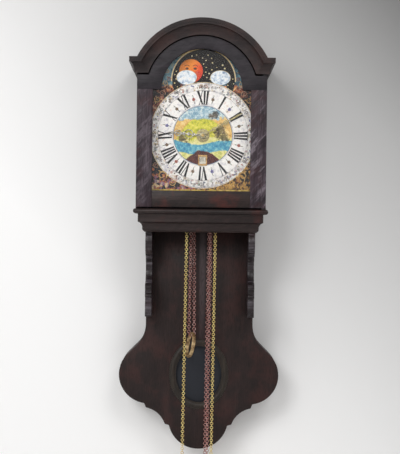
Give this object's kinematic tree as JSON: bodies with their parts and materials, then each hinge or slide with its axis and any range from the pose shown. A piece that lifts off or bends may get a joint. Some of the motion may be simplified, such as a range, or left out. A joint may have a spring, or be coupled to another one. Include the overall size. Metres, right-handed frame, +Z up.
{
  "type": "frisian tail clock",
  "caption": "Wall clock with an arched glazed hood, painted moon dial, scalloped box tail with an oval window, and hanging chains with weights.",
  "frame": {"origin": "centre of the hanging hole in the backboard, on the wall's plane", "axes": "+Z up along the clock's height, +Y into the wall, +X to the viewer's right"},
  "size_m": [0.4222, 0.244, 1.331],
  "materials": {
    "tail_wood": "dark stained, waxed",
    "hood_wood": "figured, waxed",
    "ring_wood": "turned, waxed",
    "brass": "aged satin",
    "bell_metal": "turned",
    "gilt": "pierced and gilt",
    "brass_chain": "bright",
    "copper_chain": "coppered",
    "iron": "blacked iron",
    "clear_glass": "clear",
    "dark_glass": "clear",
    "dial_paint": "painted in oils on sheet iron",
    "moon_paint": "painted night sky"
  },
  "bodies": {
    "root": {"backboard": "tail_wood", "tail_sides": "tail_wood", "tail_front": "tail_wood", "window_ring": "ring_wood", "window_glass": "dark_glass", "bracket_left": "tail_wood", "bracket_right": "tail_wood", "ledge_board": "tail_wood", "ledge_moulding": "tail_wood", "movement_seat": "tail_wood", "dial_plate": "dial_paint", "bottom_plate": "iron", "top_plate": "iron", "pillars": "iron", "arbor_bars": "iron", "pendulum_cock": "iron", "bell": "bell_metal"},
    "hood": {"hood_side_left": "hood_wood", "hood_side_right": "hood_wood", "side_glasses": "clear_glass", "dial_mask": "hood_wood", "hood_roof": "hood_wood", "cornice_arch": "hood_wood", "cornice_returns": "hood_wood", "hinge_plates": "iron"},
    "door": {"door_stile_left": "hood_wood", "door_stile_right": "hood_wood", "door_head": "hood_wood", "door_rail": "hood_wood", "door_glass": "clear_glass", "hinge_pins": "iron"},
    "centre": {"centre_wheel": "brass", "minute_hand": "gilt"},
    "going": {"going_wheel": "brass"},
    "third": {"third_wheel": "brass"},
    "escape": {"escape_wheel": "brass"},
    "anchor": {"anchor": "iron"},
    "pendulum": {"pendulum_rod": "brass", "pendulum_bob": "brass"},
    "hour": {"hour_wheel": "brass", "hour_hand": "gilt"},
    "motion": {"minute_wheel": "brass"},
    "alarm_setting": {"alarm_disc": "brass"},
    "moon": {"moon_disc": "moon_paint"},
    "date": {"date_disc": "dial_paint"},
    "strike": {"strike_wheel": "brass"},
    "pins": {"pin_wheel": "brass"},
    "fly": {"fly": "brass"},
    "hammer": {"hammer": "iron"},
    "alarm_hammer": {"alarm_hammer": "iron"},
    "alarm": {"alarm_wheel": "brass"},
    "hoop": {"counter_hoop": "brass", "copper_chain_left": "copper_chain"},
    "main_weight": {"weight": "brass", "copper_chain_right": "copper_chain"},
    "pulley": {"weight_pulley": "brass"},
    "alarm_weight": {"alarm_weight": "brass", "brass_chain_right": "brass_chain"},
    "alarm_ring": {"alarm_ring": "brass", "brass_chain_left": "brass_chain"}
  },
  "joints": [
    {"name": "hood_slide", "type": "slide", "parent": "root", "child": "hood", "axis": [0, -1, 0], "range_m": [0, 0.24]},
    {"name": "door_swing", "type": "hinge", "parent": "hood", "child": "door", "pos_m": [0.163, -0.222, -0.23], "axis": [0, 0, 1], "range_deg": [0, 110]},
    {"name": "minute_turn", "type": "hinge", "parent": "root", "child": "centre", "pos_m": [0.0035, -0.15, -0.21], "axis": [0, 1, 0], "continuous": true},
    {"name": "going_turn", "type": "hinge", "parent": "root", "child": "going", "pos_m": [0.0035, -0.15, -0.2548], "axis": [0, 1, 0], "continuous": true},
    {"name": "third_turn", "type": "hinge", "parent": "root", "child": "third", "pos_m": [0.0035, -0.15, -0.1632], "axis": [0, 1, 0], "continuous": true},
    {"name": "escape_turn", "type": "hinge", "parent": "root", "child": "escape", "pos_m": [0.0035, -0.15, -0.1242], "axis": [0, 1, 0], "continuous": true},
    {"name": "hour_turn", "type": "hinge", "parent": "root", "child": "hour", "pos_m": [0.0035, -0.185, -0.21], "axis": [0, 1, 0], "continuous": true},
    {"name": "motion_turn", "type": "hinge", "parent": "root", "child": "motion", "pos_m": [0.0275, -0.175, -0.21], "axis": [0, 1, 0], "continuous": true},
    {"name": "pendulum_swing", "type": "hinge", "parent": "root", "child": "pendulum", "pos_m": [0.0035, -0.05, -0.0902], "axis": [0, 1, 0], "range_deg": [-4, 4]},
    {"name": "anchor_swing", "type": "hinge", "parent": "root", "child": "anchor", "pos_m": [0.0035, -0.1, -0.0902], "axis": [0, 1, 0], "range_deg": [-4, 4]},
    {"name": "alarm_setting_turn", "type": "hinge", "parent": "root", "child": "alarm_setting", "pos_m": [0.0035, -0.1876, -0.21], "axis": [0, 1, 0], "continuous": true},
    {"name": "moon_turn", "type": "hinge", "parent": "root", "child": "moon", "pos_m": [0.0035, -0.1826, -0.078], "axis": [0, 1, 0], "continuous": true},
    {"name": "date_turn", "type": "hinge", "parent": "root", "child": "date", "pos_m": [0.0035, -0.1826, -0.316], "axis": [0, 1, 0], "continuous": true},
    {"name": "strike_turn", "type": "hinge", "parent": "root", "child": "strike", "pos_m": [0.0035, -0.09, -0.2548], "axis": [0, 1, 0], "continuous": true},
    {"name": "pins_turn", "type": "hinge", "parent": "root", "child": "pins", "pos_m": [0.0035, -0.09, -0.21], "axis": [0, 1, 0], "continuous": true},
    {"name": "fly_turn", "type": "hinge", "parent": "root", "child": "fly", "pos_m": [0.0035, -0.09, -0.177], "axis": [0, 1, 0], "continuous": true},
    {"name": "hammer_swing", "type": "hinge", "parent": "root", "child": "hammer", "pos_m": [0.0495, -0.09, -0.226], "axis": [0, 1, 0], "range_deg": [-0.7, 10]},
    {"name": "alarm_hammer_swing", "type": "hinge", "parent": "root", "child": "alarm_hammer", "pos_m": [-0.0425, -0.09, -0.226], "axis": [0, -1, 0], "range_deg": [-0.7, 10]},
    {"name": "weight_drop", "type": "slide", "parent": "root", "child": "main_weight", "axis": [0, 0, -1], "range_m": [-0.2, 0.24], "deforming": ["copper_chain_right"]},
    {"name": "hoop_rise", "type": "slide", "parent": "root", "child": "hoop", "axis": [0, 0, 1], "range_m": [-0.2, 0.24], "deforming": ["copper_chain_left"]},
    {"name": "pulley_turn", "type": "hinge", "parent": "main_weight", "child": "pulley", "pos_m": [0.021, -0.137, -1.08], "axis": [0.9903, 0.1392, 0], "continuous": true},
    {"name": "alarm_drop", "type": "slide", "parent": "root", "child": "alarm_weight", "axis": [0, 0, -1], "range_m": [-0.2, 0.24], "deforming": ["brass_chain_right"]},
    {"name": "alarm_ring_rise", "type": "slide", "parent": "root", "child": "alarm_ring", "axis": [0, 0, 1], "range_m": [-0.2, 0.24], "deforming": ["brass_chain_left"]},
    {"name": "alarm_turn", "type": "hinge", "parent": "root", "child": "alarm", "pos_m": [0.0035, -0.177, -0.282], "axis": [0, 1, 0], "range_deg": [-320, 380]}
  ],
  "couplings": [
    {"joint": "going_turn", "follows": "minute_turn", "ratio": -0.16667},
    {"joint": "third_turn", "follows": "minute_turn", "ratio": -8},
    {"joint": "escape_turn", "follows": "minute_turn", "ratio": 70},
    {"joint": "hour_turn", "follows": "minute_turn", "ratio": 0.083333},
    {"joint": "motion_turn", "follows": "minute_turn", "ratio": -0.33333},
    {"joint": "anchor_swing", "follows": "pendulum_swing", "ratio": 1},
    {"joint": "pins_turn", "follows": "strike_turn", "ratio": -7},
    {"joint": "fly_turn", "follows": "strike_turn", "ratio": 63},
    {"joint": "hoop_rise", "follows": "weight_drop", "ratio": 1},
    {"joint": "alarm_ring_rise", "follows": "alarm_drop", "ratio": 1},
    {"joint": "alarm_turn", "follows": "alarm_drop", "rad_per_m": 27.1}
  ]
}
